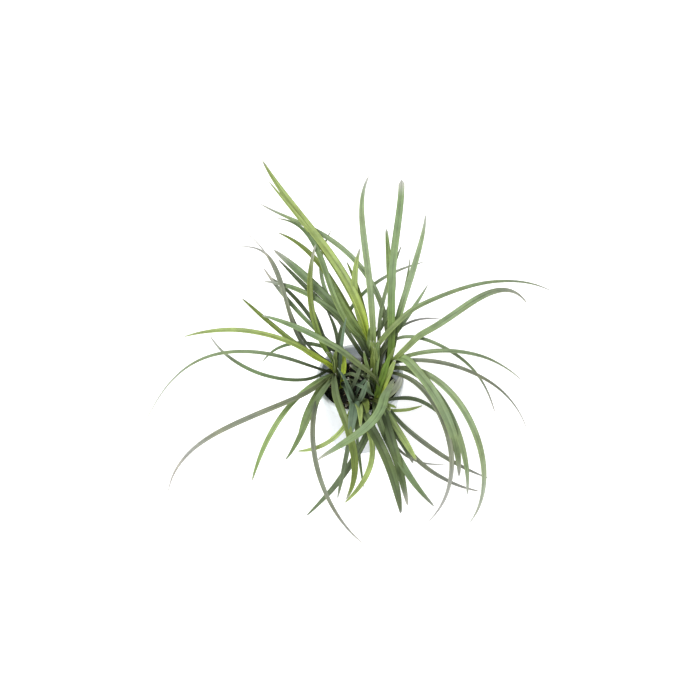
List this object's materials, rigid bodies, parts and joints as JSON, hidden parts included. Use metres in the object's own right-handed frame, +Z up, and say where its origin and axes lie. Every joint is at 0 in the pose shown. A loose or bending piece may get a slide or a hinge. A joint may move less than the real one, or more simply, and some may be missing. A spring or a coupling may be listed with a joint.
{
  "type": "potted dwarf mondo grass",
  "caption": "Small clump of evergreen strap-leaved grass with arching leaves, growing in a round plastic nursery pot.",
  "frame": {"origin": "centre of the pot's foot, on the surface that it stands on", "axes": "+Z up; the picture looks along +Y and down"},
  "size_m": [0.2423, 0.2016, 0.1304],
  "materials": {
    "pot": "smooth moulded white",
    "soil": "moist crumbly potting mix",
    "leaf_mid": "satin leaf, mid green",
    "leaf_dark": "satin leaf, dark blue-green",
    "leaf_light": "satin leaf, yellow-green"
  },
  "bodies": {
    "root": {"pot": "pot", "soil": "soil", "tuft_left": "leaf_mid", "tuft_back": "leaf_dark", "tuft_centre": "leaf_mid", "tuft_right": "leaf_dark", "tuft_front": "leaf_light"}
  },
  "joints": []
}
